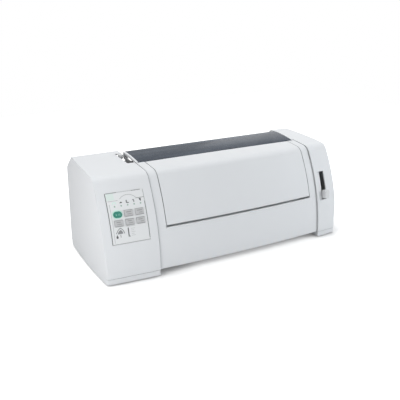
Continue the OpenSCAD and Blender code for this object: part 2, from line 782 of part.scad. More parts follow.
module idler_gear() {
    grey_plastic() from_front() difference() {
        gear(idler_c, idler_teeth, idler_turn, gear_x0, gear_x1, 3 + run_gap);
        for (a = [0:72:288]) bar_x(gear_x0 - 1, gear_x1 + 1, idler_c.x + 10 * cos(a), idler_c.y + 10 * sin(a), 3.5, 32);
    }
}

module feed_motor() {
    dark_plastic() from_front() difference() {
        union() {
            bar_x(plate_x0 + plate_t, plate_x0 + plate_t + 34, pinion_c.x, pinion_c.y, 21);
            bar_x(plate_x0 + plate_t + 34, plate_x0 + plate_t + 37, pinion_c.x, pinion_c.y, 8);
            bar_x(plate_x0 - 0.8, plate_x0 + plate_t + 1, pinion_c.x, pinion_c.y, 8);
        }
        bar_x(plate_x0 - 2, plate_x0 + plate_t + 30, pinion_c.x, pinion_c.y, 2.5 + run_gap);
    }
}

module feed_pinion() {
    color([0.80, 0.66, 0.35]) from_front() {
        gear(pinion_c, pinion_teeth, pinion_turn, gear_x0, gear_x1, 0);
        bar_x(gear_x0 + 1, plate_x0 + plate_t + 28, pinion_c.x, pinion_c.y, 2.5);
    }
}

// ---------------------------------------------------------------- chassis

rest_y = [top_y0 + 1.5, top_y0 + 5];       // the top cover's front crossbar rests on the plates here
plate_outline = concat(
    [[plate_y0, pan_z], [plate_y0, 120], [72, 196], [98, 214], [rest_y[0] - 1, 217]],
    [for (y = rest_y) [y, top_z(y, window_t + bar_t) - rest_gap]],
    [[rest_y[1] + 2, 219], [top_hinge_y - 6, 221], [top_hinge_y + 6, 221], [196, 200], [plate_y1 - 10, 192], [plate_y1, 160],
        [plate_y1, pan_z]]);

// Side plate with the holes of every shaft that it carries
module chassis_plate(x) {
    steel() from_front() difference() {
        union() {
            along_x(x, x + plate_t) polygon(plate_outline);
            bar_x(x, x + plate_t, top_hinge_y, top_hinge_z, top_ear_r);
            box(x, x + plate_t, top_hinge_y - top_ear_r, top_hinge_y + top_ear_r, bail_z, top_hinge_z);
        }
        bar_x(x - 1, x + plate_t + 1, platen_y, platen_z, shaft_r + run_gap);
        bar_x(x - 1, x + plate_t + 1, tractor_c.x, tractor_c.y, tractor_journal_r + run_gap);
        bar_x(x - 1, x + plate_t + 1, top_hinge_y, top_hinge_z, top_pin_r + run_gap);
        bar_x(x - 1, x + plate_t + 1, bail_y, bail_z, bail_rod_r + run_gap);
        along_x(x - 1, x + plate_t + 1) difference() {
            translate([112, 60]) square([70, 44]);
            for (y = [112, 182], z = [60, 104]) translate([y, z]) rotate(45) square(12, center = true);
        }
    }
}

module left_chassis_plate() {
    difference() {
        chassis_plate(plate_x0);
        from_front() bar_x(plate_x0 - 1, plate_x0 + plate_t + 1, pinion_c.x, pinion_c.y, 8);
    }
    steel() from_front() {
        for (c = [knob_c, idler_c]) bar_x(gear_x0 - (c == knob_c ? 14 : 2), plate_x0 + eps, c.x, c.y, 3);
        bar_x(gear_x1 + rest_gap, plate_x0 + eps, idler_c.x, idler_c.y, 6);
        bar_x(gear_x1 + rest_gap, plate_x0 + eps, knob_c.x, knob_c.y, 6);
    }
}

module right_chassis_plate() { chassis_plate(plate_x1 - plate_t); }

module chassis_pan() {
    steel() from_front() {
        box(plate_x0, plate_x1, plate_y0, plate_y1, pan_z - 1.6, pan_z);
        for (x = [plate_x0 + 32, print_x, plate_x1 - 32], y = [plate_y0 + 18, plate_y1 - 16])
            translate([x, y, foot_h + tray_floor]) cylinder(h = pan_z - 1.6 - foot_h - tray_floor, r = 4, $fn = 32);
    }
}

rail_y = 64;
rail_z = 142;
module front_guide_rail() {
    steel() from_front() along_x(plate_x0 + plate_t, plate_x1 - plate_t)
        polygon([[rail_y, rail_z - 16], [rail_y + 1.6, rail_z - 16], [rail_y + 1.6, rail_z - 1.6],
            [rail_y + 12, rail_z - 1.6], [rail_y + 12, rail_z], [rail_y, rail_z]]);
}

module carriage_shaft() {
    steel() from_front() bar_x(plate_x0 + plate_t, plate_x1 - plate_t, carriage_y, carriage_z, rod_r);
}

// ---------------------------------------------------------------- carriage and ribbon

carriage_w = 60;
belt_y = 92;
belt_z = 124;
belt_h = 6;
belt_t = 1.4;
pulley_r = 8;

module carriage() {
    dark_plastic() from_front() difference() {
        union() {
            box(print_x - carriage_w / 2, print_x + carriage_w / 2, 80, 114, carriage_z - 9, carriage_z + 13);
            box(print_x - 26, print_x + 26, 58, 82, rail_z + 0.4, carriage_z + 13);
            box(print_x - 10, print_x + 10, rail_y + 4, 86, rail_z - 6, rail_z - 2);
            box(print_x - 10, print_x + 10, rail_y + 15, 86, rail_z - 6, carriage_z);
            for (s = [-1, 1])
                box(print_x + s * 26 - 2, print_x + s * 26 + 2, 80, 112, carriage_z + 8, cartridge_z0);
            box(print_x - 7, print_x + 7, belt_y - pulley_r - belt_t - 4, belt_y - pulley_r - belt_t - rest_gap,
                belt_z, carriage_z);
        }
        bar_x(print_x - 40, print_x + 40, carriage_y, carriage_z, rod_r + run_gap);
        box(print_x - 20, print_x + 20, 84, 120, carriage_z + 9, carriage_z + 40);
    }
}

head_z = platen_z;
head_y1 = platen_y - platen_r - head_gap;  // tip of the print head's nose
cartridge_z0 = 199;
cartridge_h = 15;
cartridge_w = 80;

module print_head() {
    color([0.30, 0.31, 0.33]) from_front() {
        box(print_x - 17, print_x + 17, 98, 108, carriage_z + 9, head_z + 12);
        for (i = [0:5]) box(print_x - 18, print_x + 18, 86 + i * 2.1, 87.1 + i * 2.1, carriage_z + 12, head_z + 14);
        box(print_x - 15, print_x + 15, 86, 99, carriage_z + 9, carriage_z + 13);
        bar_y(print_x, 86, 98.5, head_z, 13, smooth);
        translate([print_x, 108 - eps, head_z]) rotate([-90, 0, 0])
            cylinder(h = head_y1 - 112, r1 = 14, r2 = 6, $fn = smooth);
        bar_y(print_x, head_y1 - 6, head_y1, head_z, 3.5, smooth);
    }
}

ribbon_y = head_y1 + 0.4;                  // front face of the ribbon
ribbon_z = [head_z - 7, head_z + 6];
wind_c = [print_x - 24, 95];               // axis of the ribbon knob

module ribbon_cartridge() {
    dark_plastic() from_front() {
        difference() {
            box(print_x - cartridge_w / 2, print_x + cartridge_w / 2, 76, 114, cartridge_z0, cartridge_z0 + cartridge_h);
            bar_z(wind_c.x, wind_c.y, cartridge_z0 + 5, cartridge_z0 + cartridge_h + 1, 9);
        }
        for (s = [-1, 1]) {
            box(print_x + s * 31 - 5, print_x + s * 31 + 5, 112, 124, cartridge_z0, cartridge_z0 + 9);
            box(print_x + s * 31 - 3, print_x + s * 31 + 3, 118, 124, ribbon_z[0], cartridge_z0 + 1);
            box(print_x + s * 31 - 3, print_x + s * 31 + 3, 122, ribbon_y, ribbon_z[0], ribbon_z[1]);
        }
        bar_z(wind_c.x, wind_c.y, cartridge_z0 + 4, cartridge_z0 + cartridge_h - 2, 3);
    }
}

// Upright bar at (x, y)
module bar_z(x, y, z0, z1, r, fn = smooth) {
    translate([x, y, z0]) cylinder(h = z1 - z0, r = r, $fn = fn);
}

module ribbon() {
    color([0.08, 0.08, 0.09]) from_front()
        box(print_x - 34, print_x + 34, ribbon_y, ribbon_y + 0.4, ribbon_z[0], ribbon_z[1]);
}

module ribbon_knob() {
    color([0.25, 0.45, 0.75]) from_front() difference() {
        union() {
            bar_z(wind_c.x, wind_c.y, cartridge_z0 + 5.3, cartridge_z0 + cartridge_h + 0.6, 8);
            box(wind_c.x - 7, wind_c.x + 7, wind_c.y - 1, wind_c.y + 1, cartridge_z0 + cartridge_h,
                cartridge_z0 + cartridge_h + 2.6);
        }
        bar_z(wind_c.x, wind_c.y, cartridge_z0, cartridge_z0 + cartridge_h - 1.7, 3 + run_gap);
    }
}

drive_x = plate_x0 + plate_t + 22;
idler_x = plate_x1 - plate_t - 22;

module pulley(x) {
    difference() {
        union() {
            bar_z(x, belt_y, belt_z - 0.6, belt_z + belt_h + 0.6, pulley_r - rest_gap);
            for (z = [belt_z - 2, belt_z + belt_h + 0.6]) bar_z(x, belt_y, z, z + 1.4, pulley_r + 2.5);
            bar_z(x, belt_y, belt_z - 5, belt_z - 1.9, 5);
        }
        bar_z(x, belt_y, belt_z - 6, belt_z + belt_h + 4, 2.5 + run_gap);
    }
}

module drive_pulley() { color([0.80, 0.66, 0.35]) from_front() pulley(drive_x); }
module idler_pulley() { grey_plastic() from_front() pulley(idler_x); }

module carriage_motor() {
    dark_plastic() from_front() {
        bar_z(drive_x, belt_y, 78, belt_z - 7, 20);
        bar_z(drive_x, belt_y, belt_z - 8, belt_z + belt_h + 3.5, 2.5);
        bar_z(drive_x, belt_y, pan_z, 78.5, 7);
        box(drive_x - 20, drive_x + 20, belt_y - 24, belt_y + 24, 76, 78.5);
        bar_z(idler_x, belt_y, pan_z, belt_z - 5.3, 7);
        bar_z(idler_x, belt_y, belt_z - 6, belt_z + belt_h + 3.5, 2.5);
    }
}

module carriage_belt() {
    rubber() from_front() difference() {
        belt_loop(pulley_r + belt_t, 0);
        belt_loop(pulley_r, 1);
    }
}

module belt_loop(r, over) {
    for (x = [drive_x, idler_x]) bar_z(x, belt_y, belt_z - over, belt_z + belt_h + over, r);
    box(drive_x, idler_x, belt_y - r, belt_y + r, belt_z - over, belt_z + belt_h + over);
}

// ---------------------------------------------------------------- platen, guide and bail

module platen_roller() {
    rubber() from_front() difference() {
        bar_x(plate_x0 + plate_t + 4, plate_x1 - plate_t - 4, platen_y, platen_z, platen_r);
        bar_x(plate_x0, plate_x1, platen_y, platen_z, shaft_r);
    }
}

module platen_shaft() {
    steel() from_front() {
        bar_x(gear_x0 - 2, plate_x1 + 3, platen_y, platen_z, shaft_r);
    }
}

module paper_guide() {
    steel() from_front() {
        along_x(plate_x0 + plate_t, plate_x1 - plate_t) {
            intersection() {
                difference() {
                    translate(platen_c) circle(r = platen_r + 3.2, $fn = fine / 4);
                    translate(platen_c) circle(r = platen_r + 2, $fn = fine / 4);
                }
                translate([platen_y - 12, platen_z - 40]) square([40, 36]);
            }
            polygon([[platen_y + platen_r + 1.6, platen_z - 6], [platen_y + platen_r + 2.9, platen_z - 6],
                [platen_y + platen_r + 2.9, platen_z + 4], [platen_y + platen_r + 24, platen_z + 4],
                [platen_y + platen_r + 24, platen_z + 5.2], [platen_y + platen_r + 1.6, platen_z + 5.2]]);
        }
    }
}

bail_y = 172;
bail_z = 204;
bail_roller_r = 7;
bail_dir = 125;
bail_c = platen_c + (platen_r + bail_roller_r + rest_gap) * [cos(bail_dir), sin(bail_dir)];
bail_rod_r = 2.5;
bail_x0 = plate_x0 + plate_t + 0.5;
bail_x1 = plate_x1 - plate_t - 0.5;
bail_roller_x = [for (i = [0:3]) bay_x0 + 70 + i * (bay_w - 140) / 3];

module paper_bail() {
    steel() from_front() {
        bar_x(bail_x0, bail_x1, bail_c.x, bail_c.y, bail_rod_r);
        for (x = [bail_x0, bail_x1 - 2]) {
            along_x(x, x + 2) polygon([
                bail_c + [-3, -3], [bail_y, bail_z - 4], [bail_y + 4, bail_z], [bail_y, bail_z + 4], bail_c + [-3, 4]]);
            bar_x(x, x + 2, bail_y, bail_z, 5);
        }
        bar_x(plate_x0 + eps, bail_x0 + 1, bail_y, bail_z, 2.5);
        bar_x(bail_x1 - 1, plate_x1 - eps, bail_y, bail_z, 2.5);
    }
}

module bail_rollers() {
    rubber() from_front() for (x = bail_roller_x) difference() {
        bar_x(x - 9, x + 9, bail_c.x, bail_c.y, bail_roller_r);
        bar_x(x - 10, x + 10, bail_c.x, bail_c.y, bail_rod_r + run_gap);
    }
}

// ---------------------------------------------------------------- tractors

tractor_w = 24;
sprocket_r = 13;
sprocket_w = 9;
tractor_left_x = bay_x0 + 66;
tractor_right_x = bay_x1 - 66;
square_d = 6.2;            // side of the square part of the tractor shaft
cover_hinge_off = 11;      // tractor cover's hinge, outboard of the tractor's middle

module tractor_shaft() {
    steel() from_front() {
        bar_x(gear_x0 - 1, plate_x0 + plate_t + 4, tractor_c.x, tractor_c.y, tractor_journal_r);
        bar_x(plate_x1 - plate_t - 4, plate_x1 + 2, tractor_c.x, tractor_c.y, tractor_journal_r);
        translate([(plate_x0 + plate_x1) / 2, tractor_c.x, tractor_c.y])
            cube([plate_x1 - plate_x0 - 2 * plate_t - 7, square_d, square_d], center = true);
        gear(tractor_c, tractor_teeth, tractor_turn, gear_x0, gear_x1, 0);
    }
}

module tractor_rod() {
    steel() from_front() bar_x(plate_x0 + plate_t, plate_x1 - plate_t, rod_y, rod_z, rod2_r);
}

// Tractor body; side is -1 for the left one and 1 for the right one
module tractor(x, side) {
    difference() {
        union() {
            for (s = [-1, 1]) let (px = x + s * 8 - 1.5) {
                bar_x(px, px + 3, tractor_c.x, tractor_c.y, 10.5);
                along_x(px, px + 3) polygon([[rod_y - 8, rod_z - 8], [rod_y + 10, rod_z - 8],
                    [tractor_c.x + 10, tractor_c.y - 2], [tractor_c.x + 10, tractor_c.y + 11],
                    [rod_y - 6, tractor_c.y + 11], [rod_y - 8, rod_z]]);
            }
            box(x - 9.5, x + 9.5, rod_y - 8, rod_y + 8, rod_z - 8, rod_z + 6);
        }
        bar_x(x - 20, x + 20, tractor_c.x, tractor_c.y, 7);
        bar_x(x - 20, x + 20, rod_y, rod_z, rod2_r + run_gap);
    }
    hx = x + side * cover_hinge_off;
    bar_y(hx, rod_y + 4, rod_y + 24, tractor_c.y + 15.4, 1.5);
    for (y = [rod_y + 4, rod_y + 20]) {
        box(hx - 1.5, hx + 1.5, y, y + 4, tractor_c.y + 8, tractor_c.y + 15.4);
        box(min(hx, hx - side * 4), max(hx, hx - side * 4), y, y + 4, tractor_c.y + 8, tractor_c.y + 11);
    }
}

// Sprocket with feed pins, a square hole and a hub on each side that turns in the tractor body
module sprocket(x) {
    difference() {
        union() {
            bar_x(x - sprocket_w / 2, x + sprocket_w / 2, tractor_c.x, tractor_c.y, sprocket_r - 2.5);
            bar_x(x - 9.4, x + 9.4, tractor_c.x, tractor_c.y, 7 - run_gap);
            for (i = [0:7]) translate([x, tractor_c.x, tractor_c.y]) rotate([i * 45, 0, 0])
                translate([0, 0, sprocket_r - 3]) cylinder(h = 3, r1 = 1.9, r2 = 1.1, $fn = 16);
        }
        translate([x, tractor_c.x, tractor_c.y]) cube([40, square_d + 0.2, square_d + 0.2], center = true);
    }
}

// Hinged cover of a tractor
module tractor_cover(x, side) {
    hx = x + side * cover_hinge_off;
    z = tractor_c.y + 15.4;
    difference() {
        union() {
            bar_y(hx, rod_y + 10.3, rod_y + 15.7, z, 3);
            box(min(hx, x - side * 10), max(hx, x - side * 10), rod_y + 2 - 8, rod_y + 26, z - 0.6, z + 1.4);
        }
        box(x - 3.5, x + 3.5, rod_y, rod_y + 28, z - 5, z + 5);
        for (y = [rod_y + 3.5, rod_y + 15.7]) bar_y(hx, y, y + (y > rod_y + 10 ? 8.8 : 6.8), z, 3.4);
        bar_y(hx, rod_y + 2, rod_y + 25, z, 1.5 + run_gap);
    }
}

module left_tractor() { dark_plastic() from_front() tractor(tractor_left_x, -1); }
module right_tractor() { dark_plastic() from_front() tractor(tractor_right_x, 1); }
module left_sprocket() { grey_plastic() from_front() sprocket(tractor_left_x); }
module right_sprocket() { grey_plastic() from_front() sprocket(tractor_right_x); }
module left_tractor_cover() { grey_plastic() from_front() tractor_cover(tractor_left_x, -1); }
module right_tractor_cover() { grey_plastic() from_front() tractor_cover(tractor_right_x, 1); }

// ---------------------------------------------------------------- electronics

board_z = pan_z + 6;
board_x0 = plate_x0 + 142;                 // beside the power supply
board_x1 = plate_x1 - 14;
board_y0 = 130;
board_y1 = plate_y1 - 6;
module main_board() {
    color([0.10, 0.36, 0.20]) from_front() {
        box(board_x0, board_x1, board_y0, board_y1, board_z, board_z + 1.6);
        for (x = [board_x0 + 10, board_x1 - 6], y = [board_y0 + 10, board_y1 - 8])
            bar_z(x, y, pan_z, board_z + eps, 3, 24);
        for (i = [0:3]) let (x = board_x0 + 40 + i * 44)
            box(x, x + 26, board_y0 + 20, board_y0 + 34, board_z + 1.6 - eps, board_z + 5);
        box(board_x0 + 100, board_x0 + 140, board_y1 - 46, board_y1 - 6, board_z + 1.6 - eps, board_z + 14);
        for (i = [0:3]) bar_z(board_x0 + 20 + i * 16, board_y1 - 20, board_z + 1.6 - eps, board_z + 18, 5, 24);
    }
}

module power_supply() {
    x0 = plate_x0 + plate_t + 8;
    y0 = board_y0 + 2;
    steel() from_front() {
        box(x0, x0 + 100, y0, plate_y1 - 10, pan_z, pan_z + 1.6);
        box(x0 + 4, x0 + 52, y0 + 4, y0 + 48, pan_z + 1, pan_z + 42);
        box(x0 + 62, x0 + 96, y0 + 2, y0 + 8, pan_z + 1, pan_z + 34);
        for (i = [0:2]) bar_z(x0 + 18 + i * 30, plate_y1 - 30, pan_z + 1, pan_z + 36, 10, 32);
    }
}

module power_inlet() {
    dark_plastic() from_front() {
        w = inlet_w - 2 * port_fit;
        h = inlet_h - 2 * port_fit;
        difference() {
            union() {
                box(inlet_x - w / 2, inlet_x + w / 2, body_d - 22, body_d + 0.5, inlet_z - h / 2, inlet_z + h / 2);
                box(inlet_x - w / 2 - 2, inlet_x + w / 2 + 2, body_d, body_d + 1.4, inlet_z - h / 2 - 2, inlet_z + h / 2 + 2);
            }
            box(inlet_x - 12, inlet_x + 12, body_d - 16, body_d + 3, inlet_z - 8, inlet_z + 8);
        }
        for (p = [[-7, -1.5], [7, -1.5], [0, 3]])
            box(inlet_x + p.x - 1, inlet_x + p.x + 1, body_d - 17, body_d - 6, inlet_z + p.y - 2, inlet_z + p.y + 2);
    }
}

module power_switch() {
    h = switch_h - 1;
    dark_plastic() from_front() {
        intersection() {
            box(switch_x - switch_w / 2, switch_x + switch_w / 2, body_d - 12, body_d + 6, inlet_z - h / 2, inlet_z + h / 2);
            translate([switch_x, body_d - 4, 0]) difference() {
                bar_z(0, 0, inlet_z - h, inlet_z + h, switch_w / 2 - 0.5);
                for (s = [-1, 1]) translate([s * 5.4, 6.8, inlet_z]) rotate([0, 0, -s * 14])
                    cube([12, 3, 20], center = true);
            }
        }
        bar_z(switch_x, body_d - 4, inlet_z - h / 2 - 3.6, inlet_z + h / 2 + 3.6, 0.9, 32);
    }
}

module parallel_port() {
    w = parallel_w - 2 * port_fit;
    h = parallel_h - 2 * port_fit;
    steel() from_front() {
        difference() {
            box(parallel_x - w / 2, parallel_x + w / 2, body_d - 14, body_d + 0.5, port_z - h / 2, port_z + h / 2);
            box(parallel_x - w / 2 + 4, parallel_x + w / 2 - 4, body_d - 7, body_d + 3, port_z - h / 2 + 1.6, port_z + h / 2 - 1.6);
        }
        box(parallel_x - w / 2 + 7, parallel_x + w / 2 - 7, body_d - 8, body_d - 0.5, port_z - 2, port_z + 2);
        for (s = [-1, 1]) difference() {
            box(parallel_x + s * (w / 2 - 2) - 1.2, parallel_x + s * (w / 2 - 2) + 1.2, body_d, body_d + 5, port_z - 4, port_z + 4);
            box(parallel_x + s * (w / 2 - 2) - 2, parallel_x + s * (w / 2 - 2) + 2, body_d + 1.4, body_d + 3.6, port_z - 2.6, port_z + 2.6);
        }
    }
}

module serial_port() {
    w = serial_w - 2 * port_fit;
    h = serial_h - 2 * port_fit;
    steel() from_front() difference() {
        union() {
            box(serial_x - w / 2, serial_x + w / 2, body_d - 12, body_d + 0.8, port_z - h / 2, port_z + h / 2);
            box(serial_x - 9.5, serial_x + 9.5, body_d, body_d + 5, port_z - 5, port_z + 5);
        }
        for (i = [0:4]) bar_y(serial_x - 5.6 + i * 2.8, body_d + 1, body_d + 6, port_z + 1.6, 0.6, 16);
        for (i = [0:3]) bar_y(serial_x - 4.2 + i * 2.8, body_d + 1, body_d + 6, port_z - 1.6, 0.6, 16);
        for (s = [-1, 1]) bar_y(serial_x + s * 12.5, body_d - 4, body_d + 2, port_z, 1.4, 16);
    }
}

// ---------------------------------------------------------------- nodes

base_tray();
rubber_feet();
left_end_housing();
right_end_housing();
rear_housing();
front_cover();
ribbon_door();
top_cover_frame();
top_cover_window();
operator_panel();
status_lamps();
start_button();
tear_off_button();
feed_button();
font_button();
pitch_button();
setup_button();
thickness_lever();
paper_select_lever();
lever_pivot_pins();
left_chassis_plate();
right_chassis_plate();
chassis_pan();
front_guide_rail();
carriage_shaft();
carriage();
print_head();
ribbon_cartridge();
ribbon();
ribbon_knob();
carriage_motor();
drive_pulley();
idler_pulley();
carriage_belt();
platen_roller();
platen_shaft();
platen_gear();
knob_wheel();
idler_gear();
feed_motor();
feed_pinion();
tractor_shaft();
tractor_rod();
left_tractor();
left_sprocket();
left_tractor_cover();
right_tractor();
right_sprocket();
right_tractor_cover();
paper_guide();
paper_bail();
bail_rollers();
main_board();
power_supply();
power_inlet();
power_switch();
parallel_port();
serial_port();
housing_screws();
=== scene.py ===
"""Looks of the wide-carriage dot matrix printer: materials, panel prints, small trim, camera and light.

Everything is in metres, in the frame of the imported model: X to the right, Y to the rear, Z up.
Sizes that follow the solids are written in millimetres, and MM turns them into metres.
"""

import json
import math

import bmesh
import bpy
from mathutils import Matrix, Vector


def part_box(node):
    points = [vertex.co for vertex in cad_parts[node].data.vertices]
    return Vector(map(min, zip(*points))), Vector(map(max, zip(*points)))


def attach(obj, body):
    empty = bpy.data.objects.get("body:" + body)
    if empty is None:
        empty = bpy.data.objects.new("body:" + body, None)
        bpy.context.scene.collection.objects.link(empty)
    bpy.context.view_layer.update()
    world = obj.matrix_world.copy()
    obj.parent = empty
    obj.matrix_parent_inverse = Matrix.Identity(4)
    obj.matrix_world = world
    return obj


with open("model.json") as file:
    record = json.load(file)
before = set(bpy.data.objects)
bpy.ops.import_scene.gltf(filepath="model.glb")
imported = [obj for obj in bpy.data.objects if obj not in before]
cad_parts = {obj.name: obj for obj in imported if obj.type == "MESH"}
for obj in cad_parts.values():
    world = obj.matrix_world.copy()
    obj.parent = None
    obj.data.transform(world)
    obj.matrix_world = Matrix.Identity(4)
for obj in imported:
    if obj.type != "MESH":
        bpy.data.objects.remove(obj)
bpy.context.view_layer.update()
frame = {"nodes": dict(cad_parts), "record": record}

MM = 0.001

# The front skin, which the end housings and the front cover share
FRONT = 137.5  # distance of the front plane from the origin
FRONT_R = 400.0  # radius of the front, seen from the side
SKIRT = 16.0  # height at which the housings start
BOW_R = 3600.0  # radius of the bow, seen from above
PROUD = 3.5  # how far the end housings stand out from the front cover

# The operator panel, its buttons and its lamps
LEFT, RIGHT = -294.0, -209.0  # side edges of the panel
LOW, TOP = 89.0, 193.0  # bottom and top edges of the panel
PANEL_SINK = 0.4  # depth of the panel's face under the housing's
BUTTON_X = (-274.0, -249.7, -225.4)
BUTTON_Z = (150.0, 132.0)
BUTTON_W, BUTTON_H = 18.5, 12.5
BUTTON_OUT = 1.8  # how far the buttons stand out
LAMP_X = tuple(-277.0 + 14.4 * i for i in range(5))
SYMBOL_Z = 172.6  # middle of the symbols above the lamps


# ------------------------------------------------------------------ nodes that the materials share


def new_material(name):
    """A node material, with its tree and its main shader."""
    material = bpy.data.materials.new(name)
    material.use_nodes = True
    tree = material.node_tree
    return material, tree, tree.nodes["Principled BSDF"]


def add(tree, kind, **values):
    """A new node. A value called in_NAME sets the input NAME, and any other sets a property of the node."""
    node = tree.nodes.new(kind)
    for key, value in values.items():
        if key.startswith("in_"):
            node.inputs[key[3:].replace("_", " ")].default_value = value
        else:
            setattr(node, key, value)
    return node


def object_coords(tree):
    """Coordinates that move with the piece, in metres."""
    return add(tree, "ShaderNodeTexCoord").outputs["Object"]


def calculated(tree, operation, *values):
    """The output of a math node, whose values are numbers or the outputs of other nodes."""
    node = add(tree, "ShaderNodeMath", operation=operation)
    for socket, value in zip(node.inputs, values):
        if isinstance(value, float):
            socket.default_value = value
        else:
            tree.links.new(value, socket)
    return node.outputs["Value"]


def noise(tree, coords, scale, detail, roughness=0.5):
    """Soft noise from 0 to 1, with about scale lumps in a metre."""
    node = add(tree, "ShaderNodeTexNoise", in_Scale=scale, in_Detail=detail, in_Roughness=roughness)
    tree.links.new(coords, node.inputs["Vector"])
    return node.outputs["Fac"]


def ranged(tree, value, low, high, start=0.0, end=1.0):
    """Value, where start to end becomes low to high."""
    node = add(tree, "ShaderNodeMapRange", in_From_Min=start, in_From_Max=end, in_To_Min=low, in_To_Max=high)
    tree.links.new(value, node.inputs["Value"])
    return node.outputs["Result"]


def blended(tree, value, first, second, start=0.0, end=1.0):
    """A colour that goes from first to second while value goes from start to end."""
    node = add(tree, "ShaderNodeValToRGB")
    for element, place, color in zip(node.color_ramp.elements, (start, end), (first, second)):
        element.position = place
        element.color = (*color, 1.0)
    tree.links.new(value, node.inputs["Fac"])
    return node.outputs["Color"]


def softened(tree, radius):
    """Normals that round every edge by radius."""
    return add(tree, "ShaderNodeBevel", samples=4, in_Radius=radius).outputs["Normal"]


def bumped(tree, height, strength, distance, normal=None):
    """Normals that follow a height, on top of the given ones."""
    node = add(tree, "ShaderNodeBump", in_Strength=strength, in_Distance=distance)
    tree.links.new(height, node.inputs["Height"])
    if normal:
        tree.links.new(normal, node.inputs["Normal"])
    return node.outputs["Normal"]


def worn_and_highlit_edges(tree, soft, edge_wear_and_highlight):
    """1 on faces and up to 1 plus the given amount on edges, where the softened normals turn away from the
    true ones: lighter edges that are partly rubbed wear and partly painted highlight.
    """
    true_normal = add(tree, "ShaderNodeNewGeometry").outputs["Normal"]
    turn = add(tree, "ShaderNodeVectorMath", operation="DOT_PRODUCT")
    tree.links.new(soft, turn.inputs[0])
    tree.links.new(true_normal, turn.inputs[1])
    return ranged(tree, turn.outputs["Value"], 1.0 + edge_wear_and_highlight, 1.0, start=0.80, end=0.985)


def painted_seam_shade(tree, reach):
    """Painted shade: 1 on open faces and less within reach of a seam or corner, where shade falls."""
    shelter = add(tree, "ShaderNodeAmbientOcclusion", samples=8, in_Distance=reach)
    return ranged(tree, shelter.outputs["AO"], 0.62, 1.0, start=0.35, end=0.95)


# ------------------------------------------------------------------ moulded, painted and plated surfaces

DRIFT_SCALE = 9.0  # lumps in a metre of the slow drift of colour
SMEAR_SCALE = 38.0  # lumps in a metre of the drift of gloss
GRAIN_DEPTH = 0.05 * MM
SMOOTHEST = 0.02  # lowest roughness
PLASTIC_IOR = 1.46
COAT_ROUGH = 0.15


def moulded(name, color, rough=0.5, grain=0.25, grain_size=0.0006, bevel=0.0007, spread=0.03, metallic=0.0,
            coat=0.0, smudge=0.06, seam_shade_reach=0.0, specular=0.5, edge_wear_and_highlight=0.05):
    """A surface with a slow drift of colour and gloss, a fine grain and softened edges.

    Spread and smudge are how far colour and roughness drift, and grain is the grain's strength. Edges are
    rounded over bevel metres and painted lighter, partly as rubbed wear and partly as painted highlight.
    Painted shade darkens what lies near seams and corners, out to the reach given in metres.
    """
    material, tree, shader = new_material(name)
    coords = object_coords(tree)
    shade = ranged(tree, noise(tree, coords, DRIFT_SCALE, 3.0, 0.55), 1.0 - spread, 1.0 + spread)
    soft = None
    if bevel:
        # edges painted lighter: partly rubbed wear, partly painted highlight
        soft = softened(tree, bevel)
        shade = calculated(tree, "MULTIPLY", shade, worn_and_highlit_edges(tree, soft, edge_wear_and_highlight))
    # painted shade near seams and corners
    if seam_shade_reach:
        shade = calculated(tree, "MULTIPLY", shade, painted_seam_shade(tree, seam_shade_reach))
    shaded = add(tree, "ShaderNodeVectorMath", operation="SCALE")
    shaded.inputs[0].default_value = color
    tree.links.new(shade, shaded.inputs["Scale"])
    tree.links.new(shaded.outputs["Vector"], shader.inputs["Base Color"])
    smear = noise(tree, coords, SMEAR_SCALE, 4.0, 0.6)
    gloss = ranged(tree, smear, max(rough - smudge, SMOOTHEST), rough + smudge)
    tree.links.new(gloss, shader.inputs["Roughness"])
    fine = noise(tree, coords, 1.0 / grain_size, 2.0)
    tree.links.new(bumped(tree, fine, grain, GRAIN_DEPTH, soft), shader.inputs["Normal"])
    shader.inputs["Metallic"].default_value = metallic
    shader.inputs["IOR"].default_value = PLASTIC_IOR
    shader.inputs["Specular IOR Level"].default_value = specular
    shader.inputs["Coat Weight"].default_value = coat
    shader.inputs["Coat Roughness"].default_value = COAT_ROUGH
    material.diffuse_color = (*color, 1.0)
    return material


def printed_ink(name, color, spread=0.05, rough=0.5):
    """Ink on the panel or on a key: flat, with hardly any grain."""
    return moulded(name, color, rough=rough, grain=0.05, spread=spread, bevel=0.0)


# ------------------------------------------------------------------ smoked window and circuit board


def smoked():
    """Smoked acrylic: dark and partly see-through, with faint long streaks that vary its gloss like wiping
    marks, and whose lighter bands in its colour are painted sheen.
    """
    material, tree, shader = new_material("smoked_acrylic")
    stretched = add(tree, "ShaderNodeMapping", in_Scale=(0.6, 9.0, 9.0))
    tree.links.new(object_coords(tree), stretched.inputs["Vector"])
    streak_sheen = noise(tree, stretched.outputs["Vector"], 9.0, 3.0)
    # the lighter colour along the streaks is painted sheen
    tint = blended(tree, streak_sheen, (0.018, 0.030, 0.050), (0.062, 0.084, 0.118), start=0.30, end=0.72)
    tree.links.new(tint, shader.inputs["Base Color"])
    tree.links.new(ranged(tree, streak_sheen, 0.10, 0.22), shader.inputs["Roughness"])
    tree.links.new(softened(tree, 0.6 * MM), shader.inputs["Normal"])
    shader.inputs["IOR"].default_value = 1.49
    shader.inputs["Specular IOR Level"].default_value = 0.12
    shader.inputs["Alpha"].default_value = 0.88
    return material


